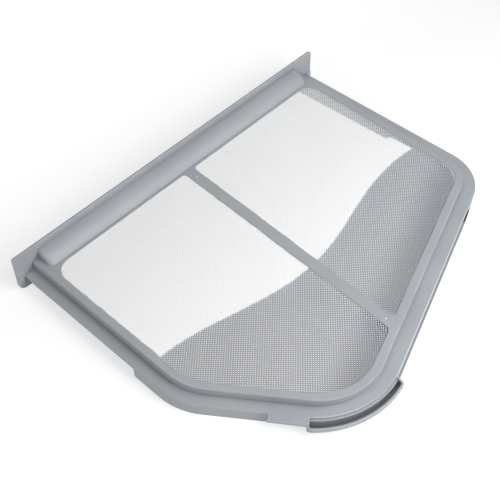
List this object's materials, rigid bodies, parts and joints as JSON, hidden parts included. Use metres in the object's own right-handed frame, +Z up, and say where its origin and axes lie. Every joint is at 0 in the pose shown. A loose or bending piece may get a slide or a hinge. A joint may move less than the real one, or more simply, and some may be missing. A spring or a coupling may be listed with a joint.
{
  "type": "tumble dryer lint filter",
  "caption": "Slide-in tumble dryer lint filter: a moulded plastic frame with a long pull handle, finger pocket and stepped edge, holding panes of woven mesh on each side of a rib.",
  "frame": {"origin": "middle of the handle, on the inner face of its plate, level with the top of the border round the mesh", "axes": "+X along the handle, towards the end on the bumper's side; +Y from the handle towards the tip, the way the filter slides in; +Z up, out of the mesh"},
  "size_m": [0.371, 0.3005, 0.0388],
  "materials": {
    "frame_plastic": "fine satin moulding, cool mid grey",
    "mesh": "fine woven polyester, white, see-through"
  },
  "bodies": {
    "root": {"frame": "frame_plastic", "screen_left": "mesh", "screen_right": "mesh"}
  },
  "joints": []
}
